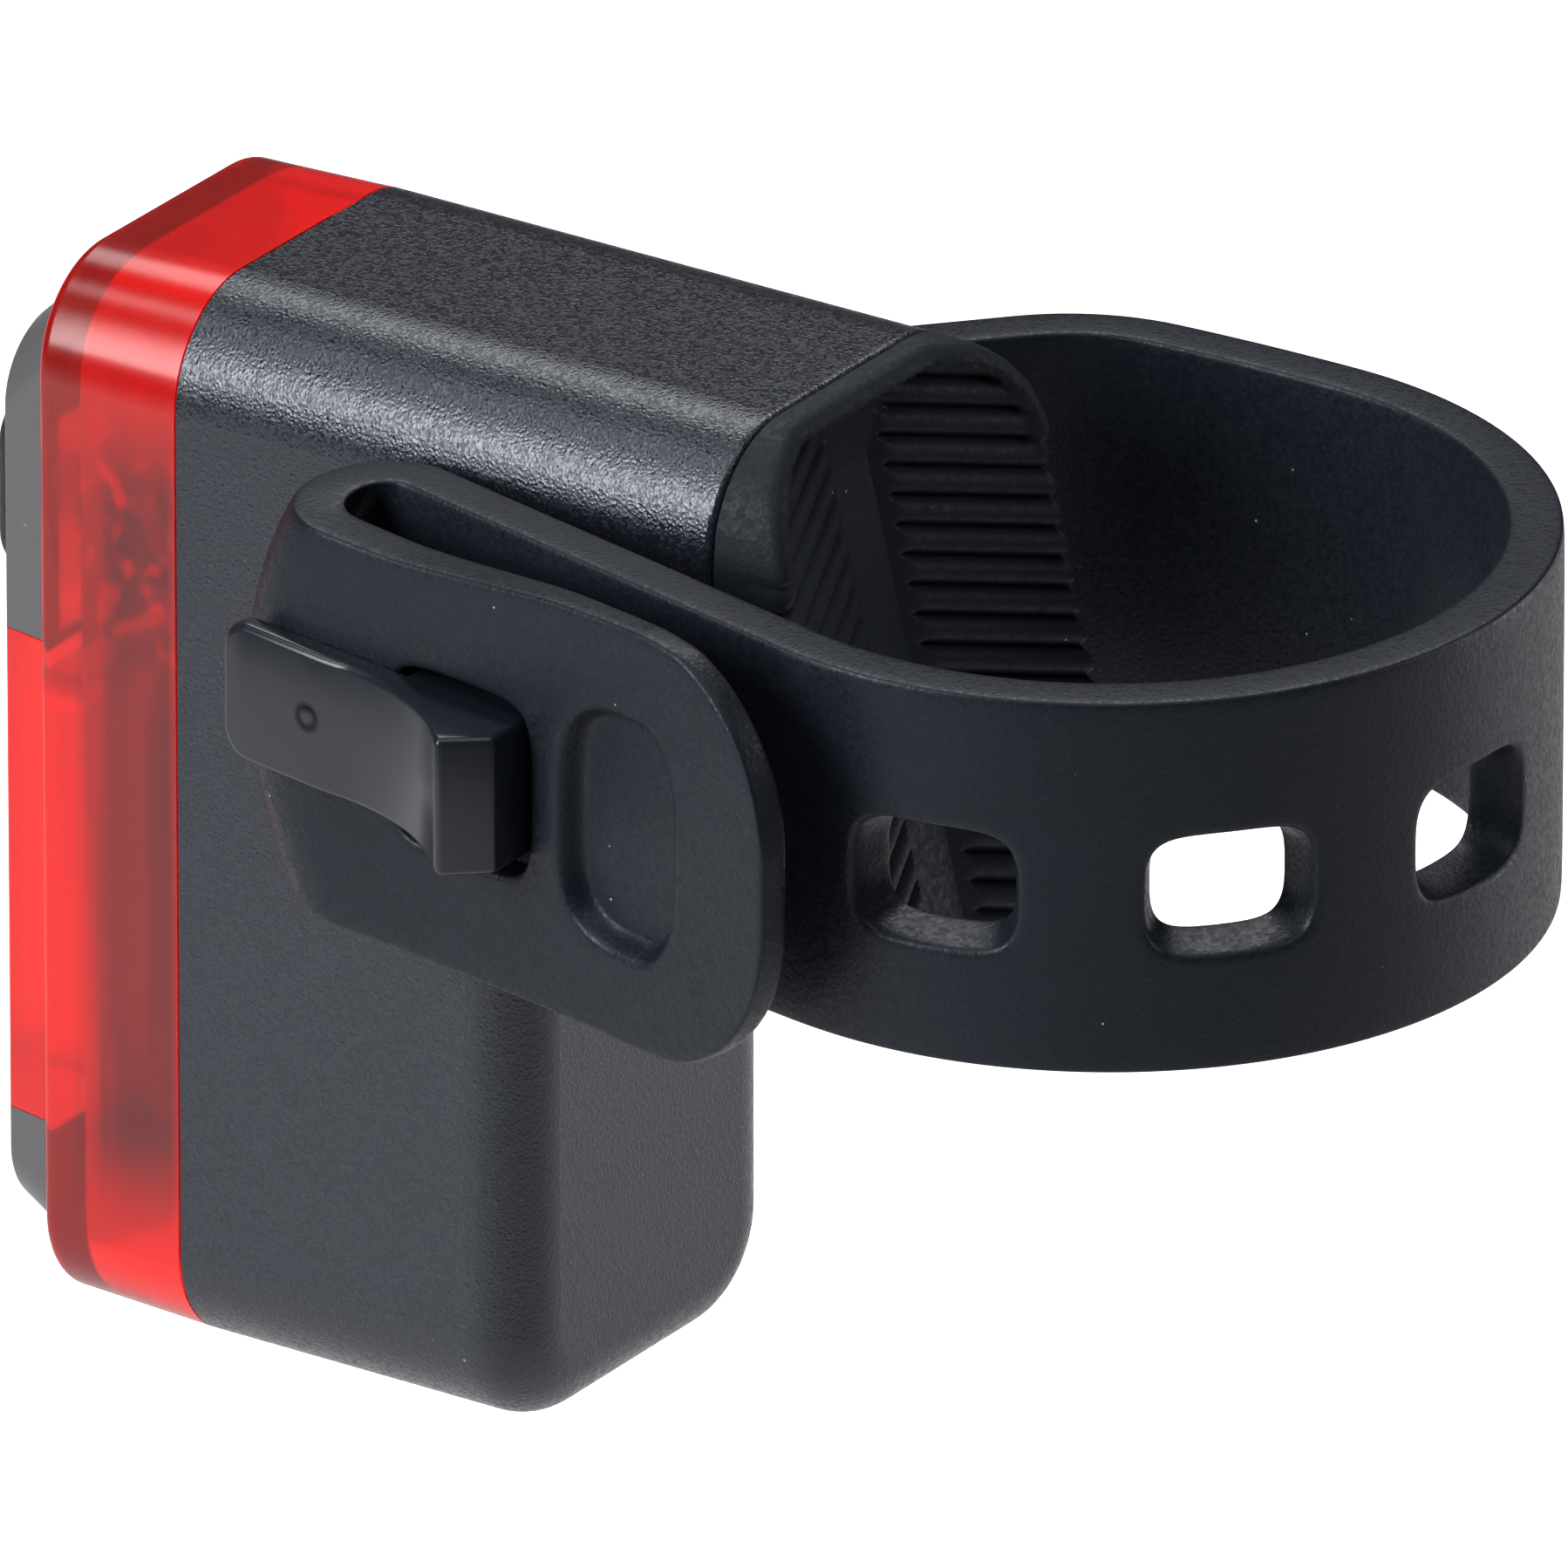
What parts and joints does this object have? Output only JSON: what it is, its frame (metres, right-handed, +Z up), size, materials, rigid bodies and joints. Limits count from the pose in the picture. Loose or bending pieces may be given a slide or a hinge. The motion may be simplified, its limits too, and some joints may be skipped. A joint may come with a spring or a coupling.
{
  "type": "bike rear light",
  "caption": "Bicycle rear light: red lens with a push button, deep black housing, ribbed rubber post cradle, and a looped silicone strap held by a side hook.",
  "frame": {"origin": "middle of the cradle's groove, on the body's middle plane, halfway up the strap", "axes": "+Z up along the body, +Y towards the seat post and the strap loop, the lens faces -Y, the hook is on the +X side"},
  "size_m": [0.0458, 0.0739, 0.0509],
  "materials": {
    "housing": "fine moulded grain",
    "pad_rubber": "satin moulded rubber",
    "strap_silicone": "satin silicone",
    "hook_plastic": "smooth",
    "steel": "plated",
    "lens_red": "clear red, polished",
    "trim": "satin",
    "switch_case": "moulded",
    "gasket": "moulded",
    "board": "solder mask",
    "emitter": "clear dome",
    "reflector": "pale",
    "guide": "frosted",
    "inner_plastic": "moulded",
    "cell_wrap": "foil wrap",
    "nickel": "plated strip",
    "button": "satin",
    "plunger": "moulded",
    "cover_rubber": "satin moulded rubber"
  },
  "bodies": {
    "light": {"housing_shell": "housing", "seatpost_pad": "pad_rubber", "strap": "strap_silicone", "strap_hook": "hook_plastic", "strap_stud": "hook_plastic", "anchor_screws": "steel", "lens_shell": "lens_red", "panel_trim_top": "trim", "panel_trim_bottom": "trim", "tactile_switch": "switch_case", "lens_gasket": "gasket", "circuit_board": "board", "board_screws": "steel", "main_leds": "emitter", "side_leds": "emitter", "reflector": "reflector", "light_guide": "guide", "battery_cradle": "inner_plastic", "battery_cell": "cell_wrap", "battery_tabs": "nickel", "usb_socket": "nickel", "usb_tongue": "inner_plastic"},
    "button": {"power_button": "button"},
    "plunger": {"switch_plunger": "plunger"},
    "cover": {"port_cover": "cover_rubber"}
  },
  "joints": [
    {"name": "button_press", "type": "slide", "parent": "light", "child": "button", "axis": [0, 1, 0], "range_m": [0, 0.0006], "stiffness_N_per_m": 400, "springref_m": -0.0002},
    {"name": "plunger_press", "type": "slide", "parent": "light", "child": "plunger", "axis": [0, 1, 0], "range_m": [0, 0.0006]},
    {"name": "cover_hinge", "type": "hinge", "parent": "light", "child": "cover", "pos_m": [0, -0.0231, -0.0376], "axis": [1, 0, 0], "range_deg": [0, 110], "stiffness_Nm_per_rad": 0.0008}
  ],
  "couplings": [
    {"joint": "plunger_press", "follows": "button_press", "ratio": 1}
  ]
}
